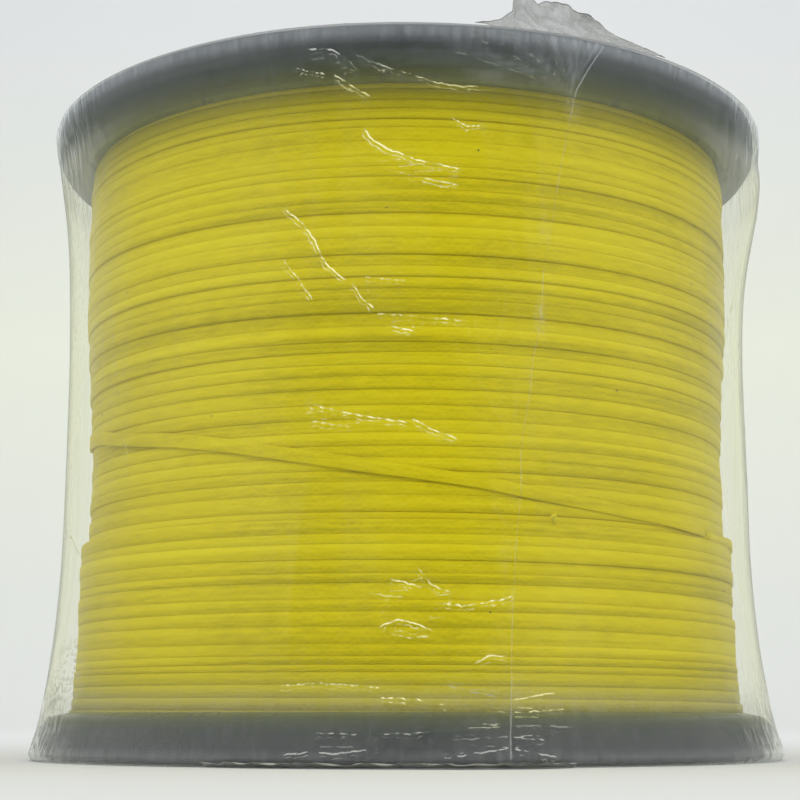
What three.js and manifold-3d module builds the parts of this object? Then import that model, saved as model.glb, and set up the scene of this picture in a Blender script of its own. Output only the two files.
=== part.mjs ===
// A shrink-wrapped bulk spool of braided fishing line, standing on its lower flange.
// Millimetres, +Z up along the spool's axis, origin on the axis at the surface the spool stands on.
// Azimuths are degrees from the front (-Y) towards the right (+X).
import * as THREE from "three";
import { mergeVertices } from "three/addons/utils/BufferGeometryUtils.js";
import Module from "manifold-3d";

const wasm = await Module();
wasm.setup();

// Driving dimensions.
const SPOOL_HEIGHT = 104; // over both flanges
const FLANGE_RADIUS = 60;
const GAP = 0.3; // clearance between pieces that touch on the real spool
const FILM_THICKNESS = 0.25;
const LINE_DIAMETER = 1.8;

// Flange, measured from its outer plane.
const RIM_HEIGHT = 3.9;
const BEVEL_HEIGHT = 3;
const BEVEL_INNER_RADIUS = 55.4;
const RIM_INNER_RADIUS = 57.2;
const RIM_CHAMFER = 0.6;
const WEB_THICKNESS = 2.5;
const BORE_RADIUS = 9.5;
const BOSS_RADIUS = 13;
const BOSS_DEPTH = 12;
const BOSS_CHAMFER = 0.5;
const SPIGOT_INNER_RADIUS = 20.4;
const SPIGOT_RADIUS = 22.9;
const SPIGOT_LENGTH = 9;
const RIB_COUNT = 12;
const RIB_THICKNESS = 1.8;
const RIB_SET_BACK = 1.2; // of the ribs' outer edges from the rim's plane
const RIB_RING_RADIUS = 39;
const RIB_ROOT = 0.4; // how far the ribs sink into the web
const DRIVE_HOLE_COUNT = 3;
const DRIVE_HOLE_RADIUS = 2.7;
const DRIVE_HOLE_CIRCLE = 16.7;

// Core tube and the tape that holds the first turn.
const CORE_WALL = 2.8;
const TAPE_THICKNESS = 0.25;
const TAPE_WIDTH = 18;
const TAPE_ARC = 70;

// Wound line.
const INNER_WINDING_RADIUS = 50.6;
const OUTER_WINDING_RADIUS = 53.1; // at its waist
const OUTER_WINDING_SWELL = 1.4; // how much fuller it is against the flanges
const LAST_WINDING_RADIUS = 54.8;
const LAST_WINDING_SWELL = 0.8;
const LAST_WINDING_TOP = 33;

// Shrink film.
const FILM_RIM_RADIUS = 61.35; // outside, over the flange rims
const FILM_WAIST_RADIUS = 56.9;
const FILM_CORNER_RADIUS = 2.8;
const FILM_OPENING_RADIUS = 42; // the round opening that the film leaves at each end
const SEAM_AZIMUTH_BOTTOM = 12.6;
const SEAM_AZIMUTH_TOP = 28;
const SEAM_RADIUS = 0.35;
const EAR_THICKNESS = 0.3;
const EAR_HEIGHT = 8;
const FLAP_REACH = 5.5;

// Derived sizes.
const BASE_Z = FILM_THICKNESS + GAP; // the lower flange's outer plane
const FLANGE_THICKNESS = RIM_HEIGHT + BEVEL_HEIGHT;
const WEB_Z = FLANGE_THICKNESS - WEB_THICKNESS;
const WINDING_LOW = BASE_Z + FLANGE_THICKNESS + GAP;
const WINDING_HIGH = BASE_Z + SPOOL_HEIGHT - FLANGE_THICKNESS - GAP;
const CORE_INNER_RADIUS = SPIGOT_RADIUS + GAP;
const CORE_RADIUS = CORE_INNER_RADIUS + CORE_WALL;
const FILM_TOP = SPOOL_HEIGHT + 2 * BASE_Z;

const RING_SEGMENTS = 48;
const HOLE_SEGMENTS = 20;
const MERGE_DISTANCE = 1e-4;

const vec2 = (x, y) => new THREE.Vector2(x, y);
const radians = THREE.MathUtils.degToRad;

const materials = {
  flange: new THREE.MeshStandardMaterial({ color: 0x3d4144, roughness: 0.42, metalness: 0 }),
  card: new THREE.MeshStandardMaterial({ color: 0x9a7b55, roughness: 0.9, metalness: 0 }),
  tape: new THREE.MeshStandardMaterial({ color: 0xd8c79a, roughness: 0.7, metalness: 0 }),
  line: new THREE.MeshStandardMaterial({ color: 0xd2c21a, roughness: 0.6, metalness: 0 }),
  film: new THREE.MeshStandardMaterial({ color: 0xdfe3e0, roughness: 0.15, metalness: 0 }),
};

// A solid of revolution about Z from a closed outline of (radius, height) points, listed anticlockwise.
function revolve(outline, segments = RING_SEGMENTS) {
  return new THREE.LatheGeometry([...outline, outline[0]], segments).rotateX(Math.PI / 2);
}

// A ring with a plain rectangular section.
function ring(innerRadius, outerRadius, low, high, segments = RING_SEGMENTS) {
  const outline = [vec2(innerRadius, low), vec2(outerRadius, low), vec2(outerRadius, high), vec2(innerRadius, high)];
  return revolve(outline, segments);
}

function toSolid(geometry) {
  const bare = geometry.clone();
  bare.deleteAttribute("normal");
  bare.deleteAttribute("uv");
  const merged = mergeVertices(bare, MERGE_DISTANCE);
  const mesh = new wasm.Mesh({
    numProp: 3,
    vertProperties: merged.attributes.position.array,
    triVerts: new Uint32Array(merged.index.array),
  });
  return new wasm.Manifold(mesh);
}

function toGeometry(solid) {
  const { vertProperties, triVerts } = solid.getMesh();
  const geometry = new THREE.BufferGeometry();
  geometry.setAttribute("position", new THREE.BufferAttribute(vertProperties, 3));
  geometry.setIndex(new THREE.BufferAttribute(triVerts, 1));
  geometry.computeVertexNormals();
  return geometry;
}

// Turns a geometry about Z so that what faced the front faces the given azimuth.
const turn = (geometry, azimuth) => geometry.rotateZ(radians(azimuth));

// The moulded flange, with its outer plane at z = 0 and the winding's side up.
function flangeGeometry() {
  const spigotTop = FLANGE_THICKNESS + SPIGOT_LENGTH;
  const outline = [
    vec2(BORE_RADIUS, 0),
    vec2(BOSS_RADIUS - BOSS_CHAMFER, 0),
    vec2(BOSS_RADIUS, BOSS_CHAMFER),
    vec2(BOSS_RADIUS, WEB_Z),
    vec2(RIM_INNER_RADIUS, WEB_Z),
    vec2(RIM_INNER_RADIUS, 0),
    vec2(FLANGE_RADIUS - RIM_CHAMFER, 0),
    vec2(FLANGE_RADIUS, RIM_CHAMFER),
    vec2(FLANGE_RADIUS, RIM_HEIGHT),
    vec2(BEVEL_INNER_RADIUS, FLANGE_THICKNESS),
    vec2(SPIGOT_RADIUS, FLANGE_THICKNESS),
    vec2(SPIGOT_RADIUS, spigotTop - BOSS_CHAMFER),
    vec2(SPIGOT_RADIUS - BOSS_CHAMFER, spigotTop),
    vec2(SPIGOT_INNER_RADIUS, spigotTop),
    vec2(SPIGOT_INNER_RADIUS, FLANGE_THICKNESS),
    vec2(BOSS_RADIUS, FLANGE_THICKNESS),
    vec2(BOSS_RADIUS, BOSS_DEPTH),
    vec2(BORE_RADIUS, BOSS_DEPTH),
  ];
  let solid = toSolid(revolve(outline));

  const ribHeight = WEB_Z - RIB_SET_BACK + RIB_ROOT;
  const ribMiddle = RIB_SET_BACK + ribHeight / 2;
  const ribStart = SPIGOT_INNER_RADIUS;
  const ribEnd = (RIM_INNER_RADIUS + FLANGE_RADIUS) / 2;
  for (let i = 0; i < RIB_COUNT; i++) {
    const rib = new THREE.BoxGeometry(RIB_THICKNESS, ribEnd - ribStart, ribHeight);
    rib.translate(0, -(ribStart + ribEnd) / 2, ribMiddle);
    solid = solid.add(toSolid(turn(rib, (i * 360) / RIB_COUNT)));
  }
  const ringBottom = RIB_SET_BACK;
  const ringTop = RIB_SET_BACK + ribHeight;
  for (const radius of [SPIGOT_INNER_RADIUS, RIB_RING_RADIUS]) {
    solid = solid.add(toSolid(ring(radius, radius + RIB_THICKNESS, ringBottom, ringTop)));
  }

  for (let i = 0; i < DRIVE_HOLE_COUNT; i++) {
    const hole = new THREE.CylinderGeometry(DRIVE_HOLE_RADIUS, DRIVE_HOLE_RADIUS, 4 * WEB_THICKNESS, HOLE_SEGMENTS);
    hole.rotateX(Math.PI / 2);
    hole.translate(0, -DRIVE_HOLE_CIRCLE, WEB_Z);
    solid = solid.subtract(toSolid(turn(hole, (i * 360) / DRIVE_HOLE_COUNT)));
  }
  return toGeometry(solid);
}

// The strip of masking tape that holds the line's first end on the core.
function startTapeGeometry() {
  const inner = CORE_RADIUS + GAP;
  const low = WINDING_LOW + 2 * LINE_DIAMETER;
  const band = toSolid(ring(inner, inner + TAPE_THICKNESS, low, low + TAPE_WIDTH));
  const reach = 2 * CORE_RADIUS;
  const half = radians(TAPE_ARC / 2);
  const wedgeOutline = [vec2(0, 0), vec2(-reach * Math.sin(half), -reach), vec2(reach * Math.sin(half), -reach)];
  const wedge = new THREE.ExtrudeGeometry(new THREE.Shape(wedgeOutline), { depth: FILM_TOP, bevelEnabled: false });
  return toGeometry(band.intersect(toSolid(wedge)));
}

// A winding is fuller against the flanges than at its waist.
function windingRadius(waistRadius, swell, z) {
  const middle = (WINDING_LOW + WINDING_HIGH) / 2;
  const share = (z - middle) / (WINDING_HIGH - middle);
  return waistRadius + swell * share ** 4;
}

function windingProfile(waistRadius, swell, low, high, steps) {
  return Array.from({ length: steps + 1 }, (_, i) => {
    const z = low + ((high - low) * i) / steps;
    return vec2(windingRadius(waistRadius, swell, z), z);
  });
}

function outerWindingGeometry() {
  const outside = windingProfile(OUTER_WINDING_RADIUS, OUTER_WINDING_SWELL, WINDING_LOW, WINDING_HIGH, 8);
  const inside = INNER_WINDING_RADIUS + GAP;
  return revolve([vec2(inside, WINDING_LOW), ...outside, vec2(inside, WINDING_HIGH)]);
}

// The last layer is wound only part of the way up from the lower flange.
function lastWindingGeometry() {
  const steps = 3;
  const inside = windingProfile(
    OUTER_WINDING_RADIUS + GAP, OUTER_WINDING_SWELL, WINDING_LOW, LAST_WINDING_TOP, steps);
  const outside = windingProfile(
    LAST_WINDING_RADIUS, LAST_WINDING_SWELL, WINDING_LOW, LAST_WINDING_TOP, steps);
  return revolve([...outside, ...inside.reverse()]);
}

// A round cord along a curve, as a closed solid.
function cordGeometry(points, radius, steps, sides = 8) {
  const section = new THREE.Shape(
    Array.from({ length: sides }, (_, i) => {
      const angle = (2 * Math.PI * i) / sides;
      return vec2(radius * Math.cos(angle), radius * Math.sin(angle));
    }),
  );
  const extrudePath = new THREE.CatmullRomCurve3(points);
  return new THREE.ExtrudeGeometry(section, { steps, bevelEnabled: false, extrudePath });
}

// A point at an azimuth, distance from the axis and height.
function polar(azimuth, radius, z) {
  const angle = radians(azimuth);
  return new THREE.Vector3(radius * Math.sin(angle), -radius * Math.cos(angle), z);
}

// The last turn of line, which crosses the winding at a slant on its way down to the last layer.
const CROSSING = { startAzimuth: -80, endAzimuth: 62, startZ: 52.2, endZ: 35.2, points: 17 };
function crossingStrandGeometry() {
  const { startAzimuth, endAzimuth, startZ, endZ, points } = CROSSING;
  const lift = GAP + LINE_DIAMETER / 2 + 0.1;
  const route = Array.from({ length: points }, (_, i) => {
    const share = i / (points - 1);
    const z = THREE.MathUtils.lerp(startZ, endZ, THREE.MathUtils.smoothstep(share, -0.15, 1));
    const radius = windingRadius(OUTER_WINDING_RADIUS, OUTER_WINDING_SWELL, z) + lift;
    return polar(THREE.MathUtils.lerp(startAzimuth, endAzimuth, share), radius, z);
  });
  return cordGeometry(route, LINE_DIAMETER / 2, 48);
}

// The heat-sealed end of the line, tucked down beside the crossing strand.
const LINE_END = { azimuth: 22, highZ: 35.6, length: 3 };
function lineEndGeometry() {
  const { azimuth, highZ, length } = LINE_END;
  const radius = LAST_WINDING_RADIUS + GAP + 0.6;
  const route = [0, 0.5, 1].map((share) => polar(azimuth + share, radius + 0.4, highZ - length * share));
  return cordGeometry(route, LINE_DIAMETER / 2 - 0.25, 4);
}

// The film's outside, from the lower opening's lip round the lower rim, up the side and over the upper rim.
function filmOutline() {
  const cornerX = FILM_RIM_RADIUS - FILM_CORNER_RADIUS;
  const corner = (fromAngle, toAngle, z) =>
    Array.from({ length: 4 }, (_, i) => {
      const angle = radians(THREE.MathUtils.lerp(fromAngle, toAngle, i / 3));
      return vec2(cornerX + FILM_CORNER_RADIUS * Math.cos(angle), z + FILM_CORNER_RADIUS * Math.sin(angle));
    });
  const side = [0.08, 0.16, 0.28, 0.5, 0.72, 0.86, 0.93].map((share) => {
    const away = Math.abs(2 * share - 1); // 0 at the waist and 1 at the rims
    const radius = THREE.MathUtils.lerp(FILM_WAIST_RADIUS, FILM_RIM_RADIUS, away ** 3);
    return vec2(radius, share * FILM_TOP);
  });
  return [
    vec2(FILM_OPENING_RADIUS, 0),
    ...corner(-90, 0, FILM_CORNER_RADIUS),
    ...side,
    ...corner(0, 90, FILM_TOP - FILM_CORNER_RADIUS),
    vec2(FILM_OPENING_RADIUS, FILM_TOP),
  ];
}

// The outline again, moved inwards by the film's thickness.
function offsetInwards(outline, distance) {
  return outline.map((point, i) => {
    const before = outline[Math.max(i - 1, 0)];
    const after = outline[Math.min(i + 1, outline.length - 1)];
    const along = after.clone().sub(before).normalize();
    return vec2(point.x - along.y * distance, point.y + along.x * distance);
  });
}

function filmGeometry() {
  const outside = filmOutline();
  const inside = offsetInwards(outside, FILM_THICKNESS);
  return revolve([...outside, ...inside.reverse()]);
}

// The film's outer radius at a height on its side.
function filmRadius(z) {
  const side = filmOutline().slice(1, -1);
  const above = side.findIndex((point, i) => i > 0 && point.y >= z);
  const low = side[above - 1];
  const high = side[above];
  return THREE.MathUtils.lerp(low.x, high.x, (z - low.y) / (high.y - low.y));
}

// The welded seam, a fine bead that runs down the film between the ears.
function seamGeometry() {
  const low = FILM_CORNER_RADIUS;
  const high = FILM_TOP - FILM_CORNER_RADIUS;
  const count = 19;
  const route = Array.from({ length: count }, (_, i) => {
    const share = i / (count - 1);
    const z = THREE.MathUtils.lerp(low, high, share);
    const azimuth = THREE.MathUtils.lerp(SEAM_AZIMUTH_BOTTOM, SEAM_AZIMUTH_TOP, share);
    return polar(azimuth, filmRadius(z) + GAP + SEAM_RADIUS, z);
  });
  return cordGeometry(route, SEAM_RADIUS, 36, 6);
}

// The film's corner that stands up where the seam runs off the upper rim: (azimuth, share of the height).
const EAR_OUTLINE = [[14, 0], [17, 0.45], [18, 1], [22, 0.86], [28, 0.82], [34, 0.46], [43, 0.16], [52, 0]];
function earGeometry() {
  const low = FILM_TOP + GAP;
  const radius = FILM_RIM_RADIUS - FILM_CORNER_RADIUS;
  const band = toSolid(ring(radius, radius + EAR_THICKNESS, low, low + EAR_HEIGHT + 1, 96));
  const outline = EAR_OUTLINE.map(([azimuth, share]) => {
    return vec2(radius * Math.sin(radians(azimuth - SEAM_AZIMUTH_TOP)), low + share * EAR_HEIGHT);
  });
  const cutter = new THREE.ExtrudeGeometry(new THREE.Shape(outline), { depth: FLANGE_RADIUS, bevelEnabled: false });
  cutter.rotateX(Math.PI / 2);
  cutter.translate(0, -GAP, 0);
  return turn(toGeometry(band.intersect(toSolid(cutter))), SEAM_AZIMUTH_TOP);
}

// The same corner at the lower rim, which lies flat: (azimuth, share of the reach).
const FLAP_OUTLINE = [[-27, 0], [-20, 0.35], [-8, 0.6], [4, 0.82], [12, 1], [17, 0.75], [22, 0]];
function flapGeometry() {
  const inner = FILM_RIM_RADIUS + GAP;
  const band = toSolid(ring(inner, inner + 2 * FLAP_REACH, EAR_THICKNESS, 2 * EAR_THICKNESS, 96));
  const at = (azimuth, radius) => {
    const point = polar(azimuth, radius, 0);
    return vec2(point.x, point.y);
  };
  const edge = FLAP_OUTLINE.map(([azimuth, share]) => at(azimuth, inner + share * FLAP_REACH));
  const outline = [vec2(0, 0), at(-27, inner), ...edge, at(22, inner)];
  const cutter = new THREE.ExtrudeGeometry(new THREE.Shape(outline), { depth: FLANGE_RADIUS, bevelEnabled: false });
  return toGeometry(band.intersect(toSolid(cutter)));
}

const spool = new THREE.Group();

function addMesh(name, geometry, material, parent = spool) {
  const mesh = new THREE.Mesh(geometry, material);
  mesh.name = name;
  parent.add(mesh);
  return mesh;
}

const lowerFlange = addMesh("lower_flange", flangeGeometry(), materials.flange);
lowerFlange.position.z = BASE_Z;

const upperFlange = addMesh("upper_flange", flangeGeometry(), materials.flange);
upperFlange.position.z = BASE_Z + SPOOL_HEIGHT;
upperFlange.rotation.x = Math.PI;

addMesh("core_tube", ring(CORE_INNER_RADIUS, CORE_RADIUS, WINDING_LOW, WINDING_HIGH), materials.card);
addMesh("line_start_tape", startTapeGeometry(), materials.tape);

const innerWindingStart = CORE_RADIUS + 2 * GAP + TAPE_THICKNESS;
const innerWinding = ring(innerWindingStart, INNER_WINDING_RADIUS, WINDING_LOW, WINDING_HIGH);
addMesh("line_inner_winding", innerWinding, materials.line);
addMesh("line_outer_winding", outerWindingGeometry(), materials.line);
addMesh("line_last_winding", lastWindingGeometry(), materials.line);
addMesh("line_crossing_strand", crossingStrandGeometry(), materials.line);
addMesh("line_end", lineEndGeometry(), materials.line);

addMesh("shrink_film", filmGeometry(), materials.film);

// The film is welded at the front and at the back, so each seam has its own ear and flap.
for (const [side, azimuth] of [["front", 0], ["rear", 180]]) {
  const weld = new THREE.Group();
  weld.rotation.z = radians(azimuth);
  spool.add(weld);
  addMesh(`${side}_film_seam`, seamGeometry(), materials.film, weld);
  addMesh(`${side}_upper_film_ear`, earGeometry(), materials.film, weld);
  addMesh(`${side}_lower_film_flap`, flapGeometry(), materials.film, weld);
}

export default spool;
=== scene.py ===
"""A shrink-wrapped spool of hi-vis yellow braided line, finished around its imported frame.

Metres, +Z up along the spool's axis. Azimuths are degrees from the front (-Y) towards the right (+X).
"""
import math

import bmesh
import bpy
import numpy as np
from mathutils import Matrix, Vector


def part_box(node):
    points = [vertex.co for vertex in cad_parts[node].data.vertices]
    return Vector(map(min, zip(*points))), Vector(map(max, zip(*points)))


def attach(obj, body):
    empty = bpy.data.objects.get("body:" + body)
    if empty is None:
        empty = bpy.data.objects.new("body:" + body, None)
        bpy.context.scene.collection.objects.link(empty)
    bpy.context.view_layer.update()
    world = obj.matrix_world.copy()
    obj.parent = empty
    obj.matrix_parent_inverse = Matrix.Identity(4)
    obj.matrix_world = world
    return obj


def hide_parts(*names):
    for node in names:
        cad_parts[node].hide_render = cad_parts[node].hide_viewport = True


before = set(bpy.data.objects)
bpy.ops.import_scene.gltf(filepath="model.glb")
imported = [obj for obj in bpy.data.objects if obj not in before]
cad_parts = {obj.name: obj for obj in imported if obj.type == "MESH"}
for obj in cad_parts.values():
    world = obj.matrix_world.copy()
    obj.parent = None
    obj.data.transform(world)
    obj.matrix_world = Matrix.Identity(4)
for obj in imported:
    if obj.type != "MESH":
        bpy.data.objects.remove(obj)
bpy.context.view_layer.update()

MM = 0.001

# Sizes taken from the frame.
FLANGE_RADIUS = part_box("lower_flange")[1].x
LOWER_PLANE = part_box("lower_flange")[0].z  # the flanges' outer planes
UPPER_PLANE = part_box("upper_flange")[1].z
INNER_WINDING_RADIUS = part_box("line_inner_winding")[1].x
FILM_TOP = UPPER_PLANE + 0.0002
MIDDLE = (LOWER_PLANE + UPPER_PLANE) / 2

# The flange, as in the CAD.
FLANGE_THICKNESS = 6.9 * MM
RIM_HEIGHT = 3.9 * MM
BEVEL_INNER_RADIUS = 55.4 * MM
SHOULDER_RADIUS = 58.6 * MM  # where the bevel swells out
SHOULDER_Z = 6.3 * MM
RIM_INNER_RADIUS = 57.2 * MM
WEB_Z = 4.4 * MM
BORE_RADIUS = 9.5 * MM
BOSS_RADIUS = 13 * MM
BOSS_DEPTH = 12 * MM
SPIGOT_INNER_RADIUS = 20.4 * MM
SPIGOT_RADIUS = 22.9 * MM
SPIGOT_LENGTH = 9 * MM
RIB_COUNT = 12
RIB_THICKNESS = 1.8 * MM
RIB_SET_BACK = 1.2 * MM
RIB_RING_RADIUS = 39 * MM
DRIVE_HOLE_COUNT = 3
DRIVE_HOLE_RADIUS = 2.7 * MM
DRIVE_HOLE_CIRCLE = 16.7 * MM
FLANGE_SEGMENTS = 192

# The line and its windings, which fill the height between the flanges.
LINE_DIAMETER = 1.8 * MM
WINDING_LOW = LOWER_PLANE + FLANGE_THICKNESS - 0.2 * MM  # pressed a little into the flanges' faces
WINDING_HIGH = UPPER_PLANE - FLANGE_THICKNESS + 0.2 * MM
STRAND_THICKNESS = 1.3 * MM
OUTER_RADIUS = 52.9 * MM  # over the outer winding, at its lower half
OUTER_SWELL = 1.6 * MM  # how much fuller it is at its upper half
LAST_RADIUS = 54.3 * MM
LAST_TOP = 35.0 * MM
LAST_END_AZIMUTH = 62

# The film.
FILM_RIM_RADIUS = 60.6 * MM
FILM_FOOT_RADIUS = 61.4 * MM
FILM_WAIST_RADIUS = 57.1 * MM
FILM_OPENING_RADIUS = 42 * MM
FILM_THICKNESS = 0.08 * MM
FILM_FILLET = 1.1 * MM
FILM_COLUMNS, FILM_ROWS = 560, 177
FLAT_GAP = 0.12 * MM  # how far the film lies inside its top and bottom
# The seam's course, as (height in mm, azimuth).
SEAM = [(0, 13), (12, 14), (22, 14.5), (43, 16.5), (53, 18), (65, 19.5), (83, 22.3), (96.5, 24.5), (100.5, 26.5),
        (105, 29.3)]


def polar(azimuth, radius, z):
    """Points at azimuths, distances from the axis and heights, which broadcast together."""
    angle = np.radians(azimuth)
    return np.stack(np.broadcast_arrays(radius * np.sin(angle), -radius * np.cos(angle), z), axis=-1)


def ease(low, high, x):
    """A smooth step from 0 where x is low to 1 where it is high."""
    share = np.clip((x - low) / (high - low), 0, 1)
    return share * share * (3 - 2 * share)


def bell(x, width):
    """1 where x is 0, and falling off to either side as a bell curve."""
    return np.exp(-(x / width) ** 2)


def follow(course, x):
    """Where a line through (x, y) points is at x."""
    return np.interp(x, *zip(*course))


def climb(rate):
    """The running total of what a rate, known at even steps, adds from step to step."""
    return np.concatenate([[0], np.cumsum((rate[1:] + rate[:-1]) / 2)])


def path_length(points):
    return np.concatenate([[0], np.cumsum(np.linalg.norm(np.diff(points, axis=0), axis=1))])


def noise(u, v, seed, wrap=None):
    """Gradient noise with unit cells, from about -1 to 1. It repeats in u after `wrap` cells."""
    size = 512
    angles = np.random.default_rng(seed).uniform(0, 2 * math.pi, (size, size))
    u, v = np.broadcast_arrays(u, v)
    column, row = np.floor(u).astype(int), np.floor(v).astype(int)
    x, y = u - column, v - row

    def pull(right, up):
        angle = angles[(column + right) % (wrap or size), (row + up) % size]
        return np.cos(angle) * (x - right) + np.sin(angle) * (y - up)

    fade_x, fade_y = x**3 * (x * (6 * x - 15) + 10), y**3 * (y * (6 * y - 15) + 10)
    low = pull(0, 0) * (1 - fade_x) + pull(1, 0) * fade_x
    high = pull(0, 1) * (1 - fade_x) + pull(1, 1) * fade_x
    return 1.5 * (low * (1 - fade_y) + high * fade_y)


def ring_noise(around, cells, v, seed):
    """Noise with so many cells in one turn round the axis."""
    return noise(around * cells, v, seed, wrap=cells)


def above(x, least, softness):
    """x where it is well over the least value, and gently approaching that value where it isn't."""
    return least + softness * np.logaddexp(0, (x - least) / softness)


def seam_azimuth(z):
    return follow(SEAM, z / MM)


def ridge(x, sharpness=8):
    """1 where x is 0, and falling off to either side: turns noise into creases."""
    return 1 / (1 + (sharpness * x) ** 2)


# ---- meshes ----

def new_object(name, data):
    new = bpy.data.objects.new(name, data)
    bpy.context.scene.collection.objects.link(new)
    return new


def grid_cells(rows, columns, wrap):
    """The row and column of each face in a grid of points. wrap joins its last column to its first."""
    return np.meshgrid(np.arange(rows - 1), np.arange(columns if wrap else columns - 1), indexing="ij")


def grid_quads(rows, columns, wrap=False):
    """The faces of a grid of points that is listed row by row."""
    row, column = grid_cells(rows, columns, wrap)
    right = (column + 1) % columns
    low, high = row * columns, (row + 1) * columns
    return np.stack([low + column, low + right, high + right, high + column], axis=-1).reshape(-1, 4)


def grid_uv(u, v, rows, columns, wrap=False):
    """A grid's corners in u and v, where u runs along its columns and has one value more if it wraps."""
    row, column = grid_cells(rows, columns, wrap)
    ends = [(row, column), (row, column + 1), (row + 1, column + 1), (row + 1, column)]
    return np.stack([np.stack([u[c], v[r]], axis=-1) for r, c in ends], axis=2).reshape(-1, 2)


def new_mesh(name, points, faces):
    mesh = bpy.data.meshes.new(name)
    mesh.from_pydata(points.reshape(-1, 3).tolist(), [], faces)
    mesh.update()
    return mesh


def grid_piece(name, points, wrap=False, u=None, v=None, caps=False):
    """A smooth piece from a grid of points. u and v are the texture coordinates of its columns and rows."""
    rows, columns = points.shape[:2]
    faces = grid_quads(rows, columns, wrap).tolist()
    if caps:
        faces += [list(range(columns))[::-1], list(range((rows - 1) * columns, rows * columns))]
    mesh = new_mesh(name, points, faces)
    mesh.polygons.foreach_set("use_smooth", [True] * len(mesh.polygons))
    if u is not None:
        coordinates = np.zeros((len(mesh.loops), 2))
        on_grid = grid_uv(u, v, rows, columns, wrap)
        coordinates[: len(on_grid)] = on_grid
        mesh.uv_layers.new(name="UVMap").data.foreach_set("uv", coordinates.ravel())
    return new_object(name, mesh)


def paint(piece, name, values):
    """Keeps one number for each vertex, which the piece's material reads."""
    piece.data.attributes.new(name, "FLOAT", "POINT").data.foreach_set("value", np.ravel(values).astype(np.float32))


def rounded(corners, steps=5):
    """A closed outline of (radius, height) from corners of (radius, height, fillet)."""
    outline = []
    count = len(corners)
    for i, (x, z, fillet) in enumerate(corners):
        here = np.array([x, z])
        if fillet == 0:
            outline.append(here)
            continue
        before = np.array(corners[i - 1][:2]) - here
        after = np.array(corners[(i + 1) % count][:2]) - here
        reach = min(np.linalg.norm(before), np.linalg.norm(after)) * 0.49
        before, after = before / np.linalg.norm(before), after / np.linalg.norm(after)
        half = math.acos(np.clip(before @ after, -1, 1)) / 2
        cut = min(fillet / math.tan(half), reach)
        start, end = here + before * cut, here + after * cut
        for share in np.linspace(0, 1, steps + 1):  # a quadratic curve is near enough to an arc here
            outline.append(start * (1 - share) ** 2 + here * 2 * share * (1 - share) + end * share**2)
    return np.array(outline)


def lathe(name, outline, segments):
    """A solid of revolution about Z from a closed anticlockwise outline of (radius, height)."""
    azimuths = np.arange(segments) * 360 / segments
    points = polar(azimuths[None, :], outline[:, None, 0], outline[:, None, 1])
    rows, columns = points.shape[:2]
    faces = grid_quads(rows + 1, columns, wrap=True) % (rows * columns)
    return new_object(name, new_mesh(name, points, faces.tolist()))


def bevelled_box(name, size, centre, azimuth, width):
    """A box with rounded edges, whose length in Y is turned to an azimuth."""
    form = bmesh.new()
    bmesh.ops.create_cube(form, size=1)
    bmesh.ops.scale(form, vec=size, verts=form.verts)
    bmesh.ops.bevel(form, geom=form.edges[:], offset=width, segments=2, affect="EDGES", profile=0.5)
    bmesh.ops.translate(form, vec=centre, verts=form.verts)
    angle = math.radians(azimuth)
    for vertex in form.verts:
        x, y, _ = vertex.co
        vertex.co.x = x * math.cos(angle) - y * math.sin(angle)
        vertex.co.y = x * math.sin(angle) + y * math.cos(angle)
    mesh = bpy.data.meshes.new(name)
    form.to_mesh(mesh)
    form.free()
    return new_object(name, mesh)


def apply_modifiers(piece):
    """Replaces a piece's mesh with what its modifiers make of it."""
    graph = bpy.context.evaluated_depsgraph_get()
    mesh = bpy.data.meshes.new_from_object(piece.evaluated_get(graph))
    piece.modifiers.clear()
    piece.data = mesh
    return piece


def combine(piece, others, operation):
    """Adds other closed solids to a piece, or cuts them out of it, and removes them."""
    for other in others:
        modifier = piece.modifiers.new("combine", "BOOLEAN")
        modifier.operation = operation
        modifier.object = other
        modifier.solver = "MANIFOLD"
        apply_modifiers(piece)
        bpy.data.objects.remove(other)
    return piece


def shade_by_angle(piece, degrees):
    piece.data.polygons.foreach_set("use_smooth", [True] * len(piece.data.polygons))
    piece.data.set_sharp_from_angle(angle=math.radians(degrees))


# The points of a strand's section, with more of them on the outer side, which is the one in view.
STRAND_ANGLES = np.radians([-100, -68, -36, 0, 36, 68, 100, 180])


def tube(name, azimuth, radius, z, half_widths, half_thicknesses, squareness=6.5):
    """A flattened strand along a path, with the length along it as v in its UVs, in line diameters."""
    centres, normals = polar(azimuth, radius, z), polar(azimuth, 1.0, 0 * z)
    along = np.gradient(centres, axis=0)
    along /= np.linalg.norm(along, axis=1)[:, None]
    sideways = np.cross(along, normals)
    out, side = (np.sign(x) * np.abs(x) ** (2 / squareness) for x in (np.cos(STRAND_ANGLES), np.sin(STRAND_ANGLES)))
    points = (centres[:, None]
              + normals[:, None] * (half_thicknesses[:, None] * out)[..., None]
              + sideways[:, None] * (half_widths[:, None] * side)[..., None])
    around = np.linspace(0, 1, len(STRAND_ANGLES) + 1)
    return grid_piece(name, points, wrap=True, u=around, v=path_length(centres) / LINE_DIAMETER, caps=True)


# ---- materials ----

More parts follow.
